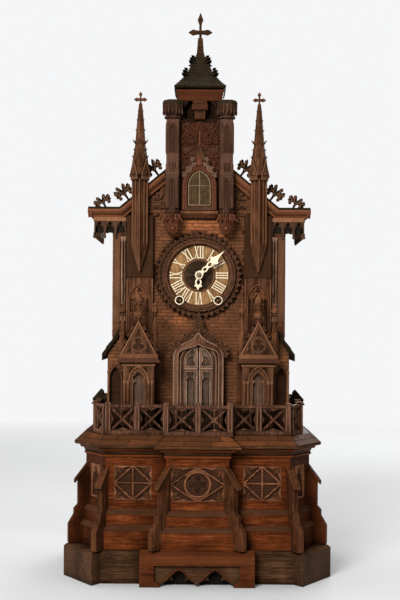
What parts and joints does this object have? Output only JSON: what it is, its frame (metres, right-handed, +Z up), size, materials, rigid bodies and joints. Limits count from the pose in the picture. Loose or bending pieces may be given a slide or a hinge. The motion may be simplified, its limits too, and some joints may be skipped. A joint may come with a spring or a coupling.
{
  "type": "figural clock",
  "caption": "Tall carved wooden mantel clock shaped as a Gothic cathedral front, with dial, pierced hands, portal doors, tower cuckoo door, pendulum and striking work.",
  "frame": {"origin": "centre of the overall box on the floor plane under the base", "axes": "+Z up, -Y towards the viewer of the dial, +X to the right of that viewer"},
  "size_m": [0.4716, 0.3, 1.0133],
  "materials": {
    "wood": "stained and waxed",
    "dark_wood": "dark stain, weathered",
    "dial_wood": "stained",
    "bone": "carved bone",
    "painted_wood": "painted",
    "brass": "lacquered",
    "steel": "blued"
  },
  "bodies": {
    "case": {"plinth_frame": "wood", "porch_plinth": "wood", "base_front_wall": "wood", "base_wall_left": "wood", "base_wall_right": "wood", "base_back_board": "wood", "corner_buttress_left": "wood", "corner_buttress_right": "wood", "bay_buttress_left": "wood", "bay_buttress_right": "wood", "balustrade_front": "wood", "balustrade_left": "wood", "balustrade_right": "wood", "facade_board": "wood", "case_wall_left": "wood", "case_wall_right": "wood", "wing_arcade_left": "wood", "wing_arcade_right": "wood", "tower_body": "wood", "tower_turret_left": "wood", "tower_turret_right": "wood", "spire_left": "wood", "spire_right": "wood", "pavilion_left": "wood", "pavilion_right": "wood", "portal_frame": "wood", "window_frame": "wood", "dial_bezel": "wood", "seat_board": "wood", "terrace_cornice": "dark_wood", "roof_left": "dark_wood", "roof_right": "dark_wood", "tower_roof": "dark_wood", "aisle_roof_left": "dark_wood", "aisle_roof_right": "dark_wood", "chapter_disc": "dial_wood", "winding_bush_left": "bone", "winding_bush_right": "bone", "front_plate": "brass", "back_plate": "brass", "gong": "steel", "gong_stand": "steel"},
    "minute": {"centre_wheel": "brass", "minute_hand": "bone", "hand_nut": "brass"},
    "hour": {"hour_wheel": "brass", "hour_hand": "bone"},
    "reverse": {"minute_wheel": "brass"},
    "time_winding": {"time_barrel": "brass"},
    "strike_winding": {"strike_barrel": "brass"},
    "escape": {"escape_wheel": "brass"},
    "anchor": {"anchor": "steel"},
    "pendulum": {"pendulum": "brass"},
    "hammer": {"strike_hammer": "steel"},
    "leaf_left": {"portal_leaf_left": "wood"},
    "leaf_right": {"portal_leaf_right": "wood"},
    "back_door": {"back_door": "wood", "back_door_knob": "brass"},
    "cuckoo_door": {"cuckoo_door": "painted_wood"},
    "bird": {"cuckoo_bird": "painted_wood"}
  },
  "joints": [
    {"name": "minute_hand_turn", "type": "hinge", "parent": "case", "child": "minute", "pos_m": [0, 0, 0.5314], "axis": [0, 1, 0], "continuous": true},
    {"name": "hour_hand_turn", "type": "hinge", "parent": "case", "child": "hour", "pos_m": [0, 0, 0.5314], "axis": [0, 1, 0], "continuous": true},
    {"name": "minute_wheel_turn", "type": "hinge", "parent": "case", "child": "reverse", "pos_m": [0.00845, 0, 0.54729], "axis": [0, 1, 0], "continuous": true},
    {"name": "time_winding_turn", "type": "hinge", "parent": "case", "child": "time_winding", "pos_m": [0.0345, 0, 0.4863], "axis": [0, 1, 0], "continuous": true},
    {"name": "strike_winding_turn", "type": "hinge", "parent": "case", "child": "strike_winding", "pos_m": [-0.0345, 0, 0.4863], "axis": [0, 1, 0], "continuous": true},
    {"name": "escape_wheel_turn", "type": "hinge", "parent": "case", "child": "escape", "pos_m": [0, 0, 0.5674], "axis": [0, 1, 0], "continuous": true},
    {"name": "pendulum_swing", "type": "hinge", "parent": "case", "child": "pendulum", "pos_m": [0, 0.0826, 0.5934], "axis": [0, 1, 0], "range_deg": [-4, 4]},
    {"name": "anchor_rock", "type": "hinge", "parent": "case", "child": "anchor", "pos_m": [0, 0.045, 0.5934], "axis": [0, 1, 0], "range_deg": [-4, 4]},
    {"name": "hammer_lift", "type": "hinge", "parent": "case", "child": "hammer", "pos_m": [0.048, 0.0989, 0.47], "axis": [0, 1, 0], "range_deg": [0, 18]},
    {"name": "portal_left_open", "type": "hinge", "parent": "case", "child": "leaf_left", "pos_m": [-0.0272, -0.0368, 0.255], "axis": [0, 0, -1], "range_deg": [0, 100]},
    {"name": "portal_right_open", "type": "hinge", "parent": "case", "child": "leaf_right", "pos_m": [0.0272, -0.0368, 0.255], "axis": [0, 0, 1], "range_deg": [0, 100]},
    {"name": "back_door_open", "type": "hinge", "parent": "case", "child": "back_door", "pos_m": [-0.155, 0.132, 0.2523], "axis": [0, 0, 1], "range_deg": [0, 100]},
    {"name": "cuckoo_door_open", "type": "hinge", "parent": "case", "child": "cuckoo_door", "pos_m": [-0.0206, -0.043, 0.6545], "axis": [0, 0, -1], "range_deg": [0, 95]},
    {"name": "bird_slide", "type": "slide", "parent": "case", "child": "bird", "axis": [0, -1, 0], "range_m": [0, 0.022]}
  ],
  "couplings": [
    {"joint": "hour_hand_turn", "follows": "minute_hand_turn", "ratio": 0.083333},
    {"joint": "minute_wheel_turn", "follows": "minute_hand_turn", "ratio": -0.33333},
    {"joint": "anchor_rock", "follows": "pendulum_swing", "ratio": 1},
    {"joint": "cuckoo_door_open", "follows": "bird_slide", "rad_per_m": 75.366}
  ]
}
